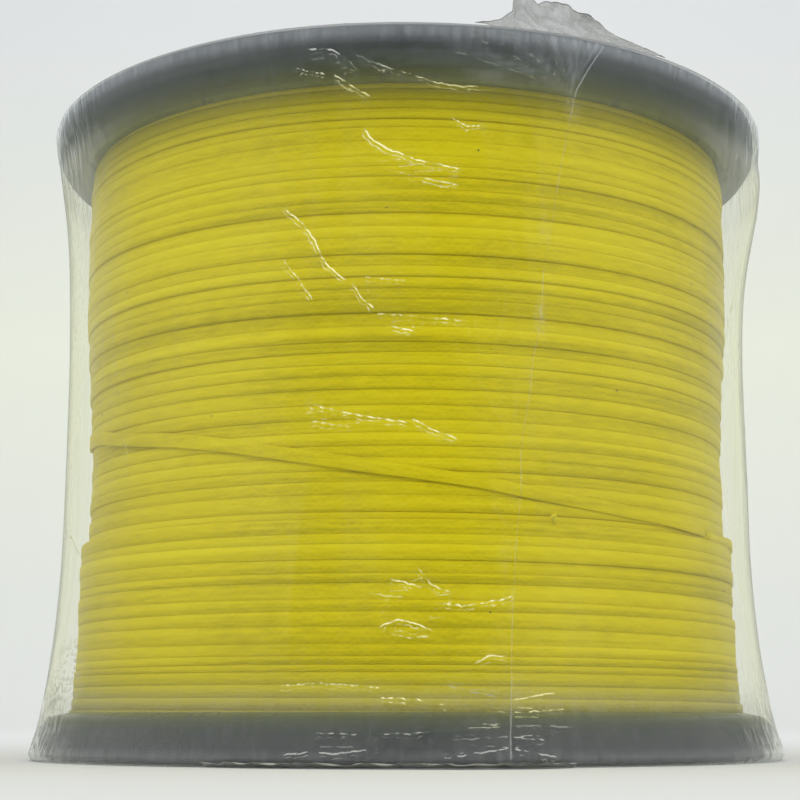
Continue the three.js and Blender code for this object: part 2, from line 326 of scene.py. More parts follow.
class Nodes:
    """A short way to write the nodes of a material or of the world."""

    def __init__(self, owner):
        owner.use_nodes = True
        self.owner = owner
        self.tree = owner.node_tree
        self.tree.nodes.clear()

    def add(self, kind, inputs=None, **settings):
        node = self.tree.nodes.new(kind)
        for key, value in settings.items():
            setattr(node, key, value)
        for key, value in (inputs or {}).items():
            if isinstance(value, Result):
                self.tree.links.new(value.socket, node.inputs[key])
            else:
                node.inputs[key].default_value = value
        return node

    def result(self, kind, inputs=None, output=0, **settings):
        return Result(self, self.add(kind, inputs, **settings).outputs[output])

    def place(self, output="Object"):
        return self.result("ShaderNodeTexCoord", output=output)

    def part(self, vector, axis):
        return self.result("ShaderNodeSeparateXYZ", {"Vector": vector}, axis)

    def stretched(self, vector, scale):
        return self.result("ShaderNodeMapping", {"Vector": vector, "Scale": scale})

    def noise(self, vector, scale, detail=3.0, roughness=0.5, distortion=0.0):
        """Noise at one scale for all directions, or at a scale for each of them."""
        if isinstance(scale, tuple):
            vector, scale = self.stretched(vector, scale), 1.0
        return self.result("ShaderNodeTexNoise", {
            "Vector": vector, "Scale": scale, "Detail": detail, "Roughness": roughness, "Distortion": distortion})

    def mix(self, factor, first, second, blend="MIX"):
        return self.result("ShaderNodeMix", {0: factor, 6: first, 7: second}, 2, data_type="RGBA", blend_type=blend)

    def bump(self, height, strength, distance, under=None):
        inputs = {"Height": height, "Strength": strength, "Distance": distance}
        if under:
            inputs["Normal"] = under
        return self.result("ShaderNodeBump", inputs)

    def principled(self, colour, roughness, **others):
        """A principled shader. The names of its other inputs have _ for spaces."""
        inputs = {"Base Color": colour, "Roughness": roughness}
        return self.result("ShaderNodeBsdfPrincipled", inputs | {
            key.replace("_", " "): value for key, value in others.items()})

    def done(self, shader, output="ShaderNodeOutputMaterial"):
        self.add(output, {"Surface": shader})
        return self.owner


class Result:
    """What a node gives, to reckon with as with a number."""

    def __init__(self, nodes, socket):
        self.nodes = nodes
        self.socket = socket

    def math(self, operation, other=0.0, clamp=False):
        return self.nodes.result("ShaderNodeMath", {0: self, 1: other}, operation=operation, use_clamp=clamp)

    def __add__(self, other):
        return self.math("ADD", other)

    def __sub__(self, other):
        return self.math("SUBTRACT", other)

    def __rsub__(self, other):
        return self.nodes.result("ShaderNodeMath", {0: other, 1: self}, operation="SUBTRACT")

    def __mul__(self, other):
        return self.math("MULTIPLY", other)

    def __abs__(self):
        return self.math("ABSOLUTE")

    def times(self, other):
        """The product, kept from 0 to 1."""
        return self.math("MULTIPLY", other, clamp=True)

    def most(self, other):
        return self.math("MAXIMUM", other)

    def ramp(self, *stops, interpolation="LINEAR"):
        """The colours or greys of a ramp, from its (position, grey or colour) stops."""
        node = self.nodes.add("ShaderNodeValToRGB", {"Fac": self})
        node.color_ramp.interpolation = interpolation
        elements = node.color_ramp.elements
        while len(elements) < len(stops):
            elements.new(0.5)
        for element, (position, colour) in zip(elements, stops):
            element.position = position
            element.color = (*np.broadcast_to(colour, 3), 1)
        return Result(self.nodes, node.outputs[0])


def new_material(name):
    return Nodes(bpy.data.materials.new(name))


def from_middle(n, spot):
    """The height above or below the spool's middle, in tenths of a metre."""
    return abs(n.part(spot, "Z") + -MIDDLE) * 10.0


def line_material(name, deep, bright, pale):
    """Braided hi-vis fibre. Its UVs run round the strand, and along it in line diameters."""
    n = new_material(name)
    uv, spot = n.place("UV"), n.place()
    around = n.part(uv, "X") * (12 * math.pi)
    along = n.part(uv, "Y") * (2.6 * math.pi)
    braid = (along + around).math("SINE").most((along - around).math("SINE"))
    fibres = n.noise(uv, (15, 0.55, 1), roughness=0.6)
    fuzz = n.noise(spot, 2600.0, detail=2)
    # Lots and turns differ a little in tone, along the strand and up the winding.
    turns = n.noise(spot, (9, 9, 520), detail=2, roughness=0.6)
    patches = n.noise(spot, 38.0)
    tone = turns * 0.5 + patches * 0.2 + fibres * 0.3 + (braid + -0.4) * 0.02
    colour = tone.ramp((0.38, deep), (0.5, bright), (0.64, pale))
    # Painted shade: the turns beside the flanges are darkened where the flanges shade them.
    painted_dim = from_middle(n, spot).ramp((0.37, 0.0), (0.41, 0.2), (0.452, 0.62))
    colour = n.mix(painted_dim, colour, (deep[0] * 0.4, deep[1] * 0.44, deep[2] + 0.012, 1))
    bump = n.bump(braid * 0.2 + fibres * 1.6, 0.6, 0.1 * MM)
    bump = n.bump(fuzz, 0.25, 0.04 * MM, bump)
    rough = fibres.ramp((0.3, 0.46), (0.7, 0.62))
    return n.done(n.principled(colour, rough, Normal=bump, Specular_IOR_Level=0.12, Specular_Tint=(1, 0.93, 0.4, 1)))


def flange_material():
    """Dark grey moulded plastic: a fine grain, faint flow lines round the axis, light scuffs and dust."""
    n = new_material("moulded_plastic")
    spot = n.place()
    grain = n.noise(spot, 1100.0, detail=0)
    flow = n.noise(spot, (60, 60, 900), detail=1, distortion=0.4)
    scuffs = n.noise(spot, (700, 120, 330), detail=1, distortion=0.8).ramp((0.60, 0.0), (0.72, 1.0))
    dust = n.noise(spot, 70.0, roughness=0.6).ramp((0.42, 0.0), (0.8, 1.0))
    tone = flow.ramp((0.3, (0.018, 0.021, 0.026)), (0.7, (0.026, 0.030, 0.036)))
    # Painted reflected light: a yellow bounce from the line on the faces that guide it, lightest at the shaded root.
    away = from_middle(n, spot)
    from_axis = n.result("ShaderNodeVectorMath", {0: n.stretched(spot, (10, 10, 0))}, "Value", operation="LENGTH")
    bounce_reach = away.ramp((0.465, 1.0), (0.505, 0.0)) * from_axis.ramp((0.51, 0.0), (0.54, 1.0))
    painted_yellow_bounce = away.ramp((0.4514, (0.24, 0.27, 0.04)), (0.4535, (0.06, 0.078, 0.016)), (0.475, (0.022, 0.031, 0.012)))
    colour = n.mix(bounce_reach * 0.9, tone, painted_yellow_bounce)
    colour = n.mix(dust * 0.25, colour, (0.06, 0.065, 0.06, 1))
    colour = n.mix(scuffs * 0.3, colour, (0.08, 0.085, 0.09, 1))
    rough = scuffs * 0.2 + flow.ramp((0.3, 0.34), (0.7, 0.46))
    bump = n.bump(grain, 0.012, 0.05 * MM)
    bump = n.bump(scuffs, 0.015, 0.03 * MM, bump)
    return n.done(n.principled(colour, rough, Normal=bump, Specular_IOR_Level=0.4))


def card_material():
    """Spiral-wound grey-brown card, with a fibre grain and the butt line of its outer ply."""
    n = new_material("wound_card")
    spot = n.place()
    fibres = n.noise(spot, (300, 300, 1100), detail=5, roughness=0.65)
    flecks = n.noise(spot, 900.0, detail=2).ramp((0.62, 0.0), (0.7, 1.0))
    spiral = n.result("ShaderNodeTexWave", {
        "Vector": n.stretched(spot, (14, 14, 30)), "Scale": 0.6, "Distortion": 0.6}, bands_direction="Z")
    colour = fibres.ramp((0.3, (0.22, 0.14, 0.075)), (0.7, (0.40, 0.28, 0.16)))
    colour = n.mix(flecks * 0.5, colour, (0.10, 0.06, 0.035, 1))
    bump = n.bump(fibres + spiral * 0.4, 0.4, 0.15 * MM)
    return n.done(n.principled(colour, fibres.ramp((0.3, 0.8), (0.7, 0.95)), Normal=bump))


def tape_material():
    """Creped masking tape."""
    n = new_material("creped_tape")
    crepe = n.noise(n.place(), (1500, 1500, 160), detail=4)
    colour = crepe.ramp((0.3, (0.58, 0.45, 0.25)), (0.7, (0.74, 0.62, 0.4)))
    return n.done(n.principled(colour, crepe.ramp((0.3, 0.6), (0.7, 0.8)), Normal=n.bump(crepe, 0.6, 0.1 * MM)))


def film_material(name, haze, gloss_roughness, crinkle, veil=(0.82, 0.83, 0.73), cool=(0.74, 0.79, 0.84),
                  clarity=0.985, edge=0.55):
    """Clear shrink film: see-through, glossier and darker-edged towards grazing angles, with haze, crinkles and dust.

    A piece may carry six numbers at each vertex: haze, pleat (how far it is gathered into fine pleats), dust,
    crease_distance, crease and painted_outline (how far it is painted as a dark outline: shade along edges and folds).
    """
    n = new_material(name)
    spot = n.place()
    painted, pleated, dusty, across, creased, painted_outline = (
        n.result("ShaderNodeAttribute", output="Fac", attribute_name=key)
        for key in ("haze", "pleat", "dust", "crease_distance", "crease", "painted_outline"))
    # Sharp creases: painted glints, a thin broken line and a fainter one beside it. A negative one is painted shade.
    wobble = (n.noise(spot, 900.0, detail=2) + -0.5) * 0.55
    first = abs(across + wobble).ramp((0.05, 1.0), (0.15, 0.0))
    second = abs(across + -0.55 + wobble * 2.4).ramp((0.02, 0.6), (0.11, 0.0))
    line = first.most(second) * n.noise(spot, 560.0, detail=2).ramp((0.40, 0.08), (0.56, 1.0))
    glint, painted_crease_shade = line.times(creased * 1.3), line.times(creased * -1.0)
    # Fine creases, in loose patches.
    tight = n.noise(spot, (420, 420, 90), detail=1, distortion=0.8)
    cells = n.result("ShaderNodeTexVoronoi", {"Vector": n.stretched(spot, (1, 1, 0.6)), "Scale": 160.0}, "Distance",
                     feature="DISTANCE_TO_EDGE")
    folds = cells.ramp((0.0, 1.0), (0.09, 0.0)) * n.noise(spot, 55.0).ramp((0.5, 0.0), (0.62, 1.0))
    streaks = n.noise(spot, (1300, 1300, 60), detail=2, distortion=0.3)
    height = tight * 0.8 + folds * 0.6 + streaks * pleated * 2.2 + line * abs(creased) * 0.5
    bump = n.bump(height, crinkle, 0.25 * MM)
    bump = n.bump(n.noise(spot, 26.0, detail=2), 0.35, 1.2 * MM, bump)
    facing = n.result("ShaderNodeLayerWeight", {"Blend": 0.5, "Normal": bump}, "Facing")
    grazing = facing.math("POWER", 5.0)
    # Where the painted dark outline is, the film has neither shine nor haze.
    plain = 1.0 - painted_outline
    shine = (grazing * 0.3 + 0.024).times(plain)
    milky = n.noise(spot, 60.0, detail=5, roughness=0.6).ramp((0.35, 0.4), (0.75, 1.6)) * haze
    milky = milky + painted * streaks.ramp((0.3, 0.75), (0.7, 1.25)) + pleated * streaks.ramp((0.5, 0.0), (0.6, 0.11))
    milky = milky.times(grazing * 8.0 + 1.0) * plain
    specks = n.add("ShaderNodeTexVoronoi", {"Vector": spot, "Scale": 210.0})
    distance, colour = (Result(n, specks.outputs[key]) for key in ("Distance", "Color"))
    chosen = n.result("ShaderNodeSeparateColor", {"Color": colour}).math("LESS_THAN", 0.45)
    grit = n.noise(spot, (1300, 330, 1100), roughness=0.7).ramp((0.5, 0.0), (0.58, 1.0))
    speck = (distance.math("LESS_THAN", 0.03) * chosen).most(grit * dusty)
    # Painted shade: dark crease lines and the painted dark outline take the specks' dark colour too.
    speck = speck.most((painted_crease_shade * 0.6).most(painted_outline * 0.72))
    # At a slant the film lets through a little painted yellow light from the line, and it darkens at its very outline.
    outline = facing.ramp(
        (0.5, clarity), (0.84, (clarity * 0.985, clarity * 0.985, clarity * 0.86)), (0.965, (edge, edge, edge * 0.9)))
    shadow = pleated * streaks.ramp((0.38, 0.42), (0.46, 0.0))
    clear = n.result("ShaderNodeBsdfTransparent", {"Color": n.mix(shadow, outline, (0.25, 0.26, 0.25, 1))})
    # Painted light: the haze has a yellow glow over the line and a cool grey over the flanges.
    up = n.part(spot, "Z") * 10.0
    # Painted highlights: the glints, and their gloss, are warm over the line and grey over the flanges.
    painted_dim, warm = (0.6, 0.62, 0.58), (1.0, 0.95, 0.5)
    tint = up.ramp((0.045, np.add(cool, veil) / 2), (0.08, veil), (0.955, veil), (0.985, cool))
    glint_colour = up.ramp((0.045, painted_dim), (0.08, warm), (0.955, warm), (0.985, painted_dim))
    lit = glint.ramp((0.0, 0.0), (0.12, 1.0))
    body_colour = n.mix(lit, n.mix(speck, tint, (0.07, 0.06, 0.045, 1)), glint_colour)
    scatter = n.principled(body_colour, 0.5, Specular_IOR_Level=0.2)
    gloss = n.result("ShaderNodeBsdfGlossy", {
        "Color": n.mix(lit, (1, 1, 1, 1), glint_colour), "Roughness": gloss_roughness, "Normal": bump})
    body = n.result("ShaderNodeMixShader", {0: milky.most(speck).most(glint), 1: clear, 2: scatter})
    return n.done(n.result("ShaderNodeMixShader", {0: shine, 1: body, 2: gloss}))


FLOOR_TONE = 0.79


def backdrop_material():
    n = new_material("studio_paper")
    spot = n.place()
    tone = n.noise(spot, 3.0, detail=2).ramp((0.3, (0.86, 0.87, 0.86)), (0.7, (0.88, 0.89, 0.88)))
    # The floor takes more light than the upright backdrop, so its paper is a little darker.
    rise = n.part(spot, "Z").ramp((0.0, FLOOR_TONE), (0.4, (0.922, 0.934, 0.829)), (0.8, (0.905, 0.904, 0.936)))
    tooth = n.bump(n.noise(spot, 900.0, detail=2), 0.05, 0.1 * MM)
    return n.done(n.principled(n.mix(1.0, tone, rise, "MULTIPLY"), 0.9, Specular_IOR_Level=0.15, Normal=tooth))


DEEP, BRIGHT, PALE = (0.47, 0.40, 0.003), (0.615, 0.52, 0.004), (0.69, 0.60, 0.009)
# The crumpled ear and flap get a darker grey haze: painted shade of their crumpled layers.
CRUMPLED_SHADE_GREY = (0.41, 0.42, 0.40)
yellow_line = line_material("hi_vis_braid", DEEP, BRIGHT, PALE)
melted_line = line_material("melted_line_end", BRIGHT, PALE, (0.85, 0.83, 0.55))
dark_plastic = flange_material()
clear_film = film_material("clear_shrink_film", 0.003, 0.09, 0.35)
loose_film = film_material("loose_shrink_film", 0.25, 0.16, 0.5, CRUMPLED_SHADE_GREY, CRUMPLED_SHADE_GREY, clarity=0.9, edge=0.3)
welded_film = film_material("welded_film", 0.04, 0.2, 0.5)


def show(piece, material, node):
    """Gives a piece its material, puts it on the root body and hides the CAD node that it stands for."""
    piece.data.materials.clear()
    piece.data.materials.append(material)
    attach(piece, "root")
    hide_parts(node)


# ---- flanges ----

def flange(name, plane, upside_down):
    """The moulded flange: rim, bevel, web, hub boss, spigot, and ribs and rings in its outer face."""
    spigot_top = FLANGE_THICKNESS + SPIGOT_LENGTH
    fine, soft = 0.3 * MM, 0.8 * MM
    outline = rounded([
        (BORE_RADIUS, 0, fine), (BOSS_RADIUS, 0, fine), (BOSS_RADIUS, WEB_Z, fine), (RIM_INNER_RADIUS, WEB_Z, fine),
        (RIM_INNER_RADIUS, 0, fine), (FLANGE_RADIUS, 0, soft), (FLANGE_RADIUS, RIM_HEIGHT + 0.3 * MM, 2 * MM),
        (SHOULDER_RADIUS, SHOULDER_Z, 2.4 * MM), (BEVEL_INNER_RADIUS, FLANGE_THICKNESS, 1 * MM),
        (SPIGOT_RADIUS, FLANGE_THICKNESS, fine),
        (SPIGOT_RADIUS, spigot_top, fine), (SPIGOT_INNER_RADIUS, spigot_top, fine),
        (SPIGOT_INNER_RADIUS, FLANGE_THICKNESS, fine), (BOSS_RADIUS, FLANGE_THICKNESS, fine),
        (BOSS_RADIUS, BOSS_DEPTH, fine), (BORE_RADIUS, BOSS_DEPTH, fine)])
    piece = lathe(name, outline, FLANGE_SEGMENTS)

    sunk = 0.4 * MM  # how far the ribs sink into the web
    height = WEB_Z - RIB_SET_BACK + sunk
    middle = RIB_SET_BACK + height / 2
    start, end = SPIGOT_INNER_RADIUS, (RIM_INNER_RADIUS + FLANGE_RADIUS) / 2
    ribs = [bevelled_box("rib", (RIB_THICKNESS, end - start, height), (0, -(start + end) / 2, middle),
                         i * 360 / RIB_COUNT, fine) for i in range(RIB_COUNT)]
    rings = [lathe("rib_ring", rounded([
        (radius, RIB_SET_BACK, fine), (radius + RIB_THICKNESS, RIB_SET_BACK, fine),
        (radius + RIB_THICKNESS, RIB_SET_BACK + height, 0), (radius, RIB_SET_BACK + height, 0)], 3), FLANGE_SEGMENTS)
        for radius in (SPIGOT_INNER_RADIUS, RIB_RING_RADIUS)]
    combine(piece, ribs + rings, "UNION")
    holes = []
    for i in range(DRIVE_HOLE_COUNT):
        hole = lathe("hole", np.array([
            [1e-5, 0], [DRIVE_HOLE_RADIUS, 0], [DRIVE_HOLE_RADIUS, 10 * MM], [1e-5, 10 * MM]]), 48)
        centre = polar(i * 360 / DRIVE_HOLE_COUNT, DRIVE_HOLE_CIRCLE, 0)
        for vertex in hole.data.vertices:
            vertex.co.x += centre[0]
            vertex.co.y += centre[1]
        holes.append(hole)
    combine(piece, holes, "DIFFERENCE")

    points = np.zeros(len(piece.data.vertices) * 3)
    piece.data.vertices.foreach_get("co", points)
    points = points.reshape(-1, 3)
    if upside_down:
        points = points * (1, -1, -1)  # a half turn about X, so its faces still point out
    points[:, 2] += plane
    piece.data.vertices.foreach_set("co", points.ravel())
    piece.data.update()
    shade_by_angle(piece, 32)
    return piece


show(flange("lower_flange_moulding", LOWER_PLANE, False), dark_plastic, "lower_flange")
show(flange("upper_flange_moulding", UPPER_PLANE, True), dark_plastic, "upper_flange")

for node, material in (("core_tube", card_material()), ("line_start_tape", tape_material())):
    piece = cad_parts[node]
    piece.data.materials.clear()
    piece.data.materials.append(material)
    shade_by_angle(piece, 32)


# ---- windings ----

def groove_heights(turns, low, high, seed):
    """A function from a position along the winding, in turns, to the height of the groove under it.

    Turns differ in width.
    """
    rng = np.random.default_rng(seed)
    per_turn = 3
    knots = np.arange((turns + 1) * per_turn + 2) / per_turn
    rate = 1 + 0.42 * np.clip(rng.normal(size=len(knots)), -1.7, 1.9)
    rate = np.convolve(rate, [0.2, 0.6, 0.2], mode="same")
    climbed = climb(rate)
    total = np.interp(turns + 1, knots, climbed)
    return lambda t: low + (high - low) * np.interp(t, knots, climbed) / total


def outer_radius(z):
    return OUTER_RADIUS + OUTER_SWELL * ease(47 * MM, 78 * MM, z) - 0.6 * MM * ease(93 * MM, 98 * MM, z)


def last_radius(z):
    return LAST_RADIUS + 1.0 * MM * np.abs((z - MIDDLE) / (WINDING_HIGH - MIDDLE)) ** 9


STEPS_PER_TURN = 196


def winding(name, turns, low, high, radius_at, seed, end_azimuth=180, full=True):
    """Turn by turn, a helix of flattened strand from low to high that fills the height between its neighbours.

    A full layer fills the height up to the flange. Any other ends in the open, and its end goes down between turns.
    """
    heights = groove_heights(turns, low, high, seed)
    # The first turn widens from nothing, and a full layer's last turn narrows to nothing.
    spare = 0.96
    t = np.linspace(-spare, turns + spare * full, int((turns + spare + spare * full) * STEPS_PER_TURN) + 1)
    under, over = heights(t), np.minimum(heights(t + 1), high)
    z = (under + over) / 2
    half_width = (over - under) / 2 * 1.10  # pressed a little into its neighbours
    azimuth = end_azimuth - 360 * (t - turns)
    rise = noise(t * 2.3, 0.5, seed + 1) * 0.26 * MM + noise(t * 9, 0.5, seed + 2) * 0.05 * MM
    crowded = (half_width * 2 / LINE_DIAMETER - 1) * -0.12 * MM
    tucked = 0 if full else 1.25 * MM * ease(turns - 0.035, turns, t)
    outer = radius_at(z) + rise + crowded - tucked
    half_width = np.minimum(half_width, np.minimum(z - low, high - z) + 0.02 * MM)
    half_thickness = np.full_like(z, STRAND_THICKNESS / 2)
    return tube(name, azimuth, outer - half_thickness, z, half_width, half_thickness)


LINE_TURNS = 50
LAST_TURNS = 15
show(winding("line_outer_turns", LINE_TURNS, WINDING_LOW, WINDING_HIGH, outer_radius, seed=11),
     yellow_line, "line_outer_winding")
show(winding("line_last_turns", LAST_TURNS, WINDING_LOW, LAST_TOP, last_radius, seed=29,
             end_azimuth=LAST_END_AZIMUTH, full=False), yellow_line, "line_last_winding")


def inner_winding():
    """The hidden layers: their outside is grooved by the turns that lie on it."""
    per_turn = 6
    t = np.arange(LINE_TURNS * per_turn + 1) / per_turn
    z = WINDING_LOW + (WINDING_HIGH - WINDING_LOW) * t / LINE_TURNS
    radius = INNER_WINDING_RADIUS - 0.5 * MM * np.abs(np.cos(math.pi * t)) ** 3
    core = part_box("core_tube")[1].x + 0.9 * MM
    outline = np.concatenate([
        [[core, WINDING_LOW]], np.stack([radius, z], axis=-1), [[core, WINDING_HIGH]]])
    piece = lathe("line_inner_turns", outline, 144)
    shade_by_angle(piece, 50)
    return piece


show(inner_winding(), yellow_line, "line_inner_winding")


def crossing_strand():
    """The last turn, which leaves the last layer on the right, climbs across the front and dives in on the left."""
    azimuth = np.linspace(-96, LAST_END_AZIMUTH + 14, 420)
    share = (azimuth + 80) / (LAST_END_AZIMUTH + 80)
    height = 52.2 * MM + (35.2 - 52.2) * MM * ease(-0.15, 1, share)
    z = height + noise(azimuth / 17, 0.5, 5) * 0.25 * MM
    ends = ease(-78, -96, azimuth) + ease(LAST_END_AZIMUTH - 8, LAST_END_AZIMUTH + 12, azimuth)
    buried = 1.3 * MM * ends
    half_width = (1.06 + 0.22 * noise(azimuth / 23, 0.5, 6)) * MM
    half_thickness = np.full_like(z, 0.34 * MM)
    radius = outer_radius(z) + 0.1 * MM - buried
    return tube("line_crossing_turn", azimuth, radius, z, half_width, half_thickness)


show(crossing_strand(), yellow_line, "line_crossing_strand")


def line_end():
    """The cut and melted end of the line, tucked between two turns."""
    share = np.linspace(0, 1, 40)
    azimuth = 22.3 + 1.0 * share
    z = 34.9 * MM - 1.7 * MM * share
    radius = LAST_RADIUS + (0.2 - 1.1 * share**2) * MM
    blob = 1 + 0.5 * bell(share - 0.12, 0.12)
    closing = np.sqrt(np.clip(1 - (np.clip(0.08 - share, 0, 1) / 0.08) ** 2, 0.02, 1))
    half = 0.42 * MM * blob * closing
    return tube("line_melted_end", azimuth, radius, z, half, half * 0.8, squareness=2.1)


show(line_end(), melted_line, "line_end")


# ---- film ----

LAP_POINTS = 12


def film_profile():
    """The film's section as (radius, height), from the lower opening's edge round both rims to the upper one's."""
    def corner(centre_z, radius, start, end):
        angle = np.radians(np.linspace(start, end, 9))
        return np.stack([radius - FILM_FILLET + FILM_FILLET * np.cos(angle), centre_z + FILM_FILLET * np.sin(angle)],
                        axis=-1)

    z = np.linspace(5 * MM, FILM_TOP - 5 * MM, 80)
    away = 2 * z / FILM_TOP - 1
    rim = np.where(away < 0, FILM_FOOT_RADIUS, FILM_RIM_RADIUS + 0.2 * MM)
    power = np.where(away < 0, 3.4, 3.0)
    side = np.stack([FILM_WAIST_RADIUS + (rim - FILM_WAIST_RADIUS) * np.abs(away) ** power, z], axis=-1)
    lap = np.linspace(FILM_OPENING_RADIUS, 57 * MM, LAP_POINTS)
    low = np.stack([lap, np.full_like(lap, FLAT_GAP)], axis=-1)
    high = np.stack([lap[::-1], np.full_like(lap, FILM_TOP - FLAT_GAP)], axis=-1)
    return np.concatenate([
        low, corner(FILM_FILLET + FLAT_GAP, FILM_FOOT_RADIUS, -90, 0), side,
        corner(FILM_TOP - FILM_FILLET - FLAT_GAP, FILM_RIM_RADIUS, 0, 90), high])


# Sharp creases in the film's side, which carry painted glints: how strong they are, the length of their beads
# in mm (0: unbroken), and their course as azimuths and heights in mm.
CREASES = [
    (0.7, 0, [(-13, 101), (-10, 100.6), (-8.5, 99.6), (-7, 98)]), (0.9, 0.7, [(-15, 98.4), (-13, 97.7), (-11, 97.3)]),
    (0.6, 0, [(-10.2, 97.3), (-8.2, 95.8), (-5.3, 94)]),
    (0.5, 0, [(-6.5, 99.5), (-2, 97.6), (4.5, 95.7), (7.4, 95.3), (11, 95.5)]),
    (0.9, 0.8, [(6.5, 90.6), (8.5, 89.7), (10.3, 89.8)]),
    (1.0, 0, [(-5.4, 88.5), (-5, 87.8), (-2.7, 86.2), (1.6, 84.6), (7, 83.5)]),
    (0.6, 0, [(-2, 83.1), (1, 82.3), (6.6, 81.2)]), (0.7, 0.8, [(12.5, 101.3), (13.5, 101.6), (16, 101.1)]),
    (1.0, 0, [(-17.2, 78), (-15, 76.1), (-13, 73.2), (-11.6, 70), (-9, 67.7)]),
    (1.0, 1.4, [(-7.2, 66.2), (-6.1, 64.4), (-4.6, 63.2)]),
    (1.0, 1.6, [(-3.6, 62.3), (-0.4, 62.1), (2.2, 61.8), (7.6, 61.5)]), (0.9, 0, [(-2, 60.5), (0.6, 59.9)]),
    (1.0, 1.1, [(-17.5, 70.4), (-15.6, 68), (-13.7, 65.2)]), (0.5, 1.0, [(-5.4, 67.6), (-0.8, 67.2)]),
    (1.1, 1.7, [(-13.4, 49.7), (-10, 48.8), (-8.2, 48.3), (-4, 47.5), (0, 47)]),
    (0.5, 1.2, [(-12.8, 47.2), (-8, 46.4)]), (0.8, 0, [(1.2, 47.2), (3.5, 46), (6.5, 44.9)]),
    (0.7, 0, [(-1.5, 25), (1.5, 24.3)]), (0.7, 0, [(2, 26.2), (3.3, 24.4), (6, 23.4)]),
    (0.4, 0, [(-4.5, 23.2), (-1, 22.8)]), (0.8, 1.3, [(4.4, 21.9), (7.5, 21.6), (10.5, 22), (14.2, 22.8)]),
    (0.8, 0, [(-3, 19), (-1.1, 19.7), (1, 19.2), (3, 18.4)]), (0.6, 0, [(2.6, 17.4), (0.6, 17.2), (-1.8, 17.8)]),
    (0.6, 0, [(9.8, 14.2), (11, 14.8), (12.6, 14.8)]),
    (0.7, 0.8, [(-16.5, 10.9), (-12, 11.2), (-7, 11), (-3.5, 10.6)]), (1.1, 1.0, [(-3, 9.2), (-1.4, 9.2), (0.2, 9)]),
    (0.9, 1.7, [(1.5, 8.9), (4.7, 8.3), (7.4, 7.6), (10, 7.1), (12.8, 6.3)]),
    (0.6, 0, [(-15, 1.8), (-12, 2.2), (-9.3, 1.9), (-4, 2.5)]),
    (0.5, 1.5, [(-11, 4.6), (-5.5, 4.4), (-1.4, 4.5), (2.4, 4.7)]), (0.5, 1.2, [(-52, 70), (-50, 58), (-46, 44)]),
    (0.5, 0, [(58, 42), (61, 33), (64, 26)]), (0.8, 0, [(96, 80), (101, 70), (104, 64), (108, 58)]),
    (0.9, 1.5, [(132, 52), (140, 50.5), (150, 47)]), (0.9, 0, [(171, 84), (176, 77), (180, 68), (186, 63)]),
    (0.8, 0, [(205, 40), (211, 36), (219, 29)]), (0.7, 1.4, [(236, 72), (240, 63), (245, 50)]),
    (0.8, 1.2, [(262, 34), (268, 37), (275, 38)]),
]


def gathers():
    """Short creases, painted bright and dark by turns, that converge on each seam's lower end."""
    found = []
    for turn in (0, 180):
        for i, foot in enumerate((2.6, 4.1, 5.6, 7.2, 8.9)):
            for side in (-1, 1):
                slope, length = (foot - 5.5) * 0.06 - 0.03 * side, 3.5 + 1.3 * ((3 * i + side) % 4)
                ends = [(float(seam_azimuth(foot * MM)) + turn + side * reach, foot + slope * reach)
                        for reach in (0.7, 0.7 + length)]
                found.append((0.6 if (i + side) % 3 else -0.9, 0, ends))
    return found


def crease_field(azimuth, z):
    """For each point, its signed distance in mm from the nearest crease, and that crease's strength there."""
    shape = np.broadcast(azimuth, z).shape
    # The distance from a crease, the signed distance from its line, and its strength.
    none = np.stack([np.full(shape, 9.0), np.full(shape, 4.0), np.zeros(shape)])
    best, second = none, none[0]
    per_degree = math.radians(1) * FILM_WAIST_RADIUS / MM
    for power, bead, course in CREASES + gathers() + fan():
        own = none
        for (start_azimuth, start_z), (end_azimuth, end_z) in zip(course, course[1:]):
            x = ((azimuth - start_azimuth + 180) % 360 - 180) * per_degree
            y = z / MM - start_z
            dx, dy = (end_azimuth - start_azimuth) * per_degree, end_z - start_z
            length = math.hypot(dx, dy)
            along, across = (x * dx + y * dy) / length, (x * dy - y * dx) / length
            beyond = np.maximum(np.maximum(-along, along - length), 0)
            gap = np.hypot(across, beyond)
            beads = 1 if bead == 0 else 0.1 + 0.9 * np.cos(math.pi * along / bead) ** 2
            own = np.where(gap < own[0], np.stack([gap, across, power * beads * ease(0.8, 0.1, beyond)]), own)
        second = np.where(own[0] < best[0], best[0], np.minimum(second, own[0]))
        best = np.where(own[0] < best[0], own, best)
    nearest, distance, strength = best
    # Where two creases meet, the distance jumps from one to the other, so both fade out there.
    return distance, strength * ease(2.4, 1.6, nearest) * ease(0.5, 1.1, second - nearest)


def off_seams(azimuth):
    """How many degrees an azimuth is from the front or the back, whichever is nearer."""
    return np.abs((azimuth + 90) % 180 - 90)


def at_sides(azimuth):
    """1 at the left and right, 0 in front and behind."""
    return ease(48, 66, off_seams(azimuth))


def fan():
    """Straight faint creases that fan out from where the seam meets the upper flange, up to the left."""
    foot_azimuth, foot_height, found = 24.6, 96.0, []
    for slope, start, end, power in ((13, 6, 18, 0.22), (23, 5, 17, 0.3), (33, 3.5, 13, 0.3), (50, 4, 9, 0.2)):
        rise, run = math.sin(math.radians(slope)), math.cos(math.radians(slope))
        course = [(foot_azimuth - reach * run, foot_height + reach * rise) for reach in (start, end)]
        found += [(power, 0, [(azimuth + turn, height) for azimuth, height in course]) for turn in (0, 180)]
    return found


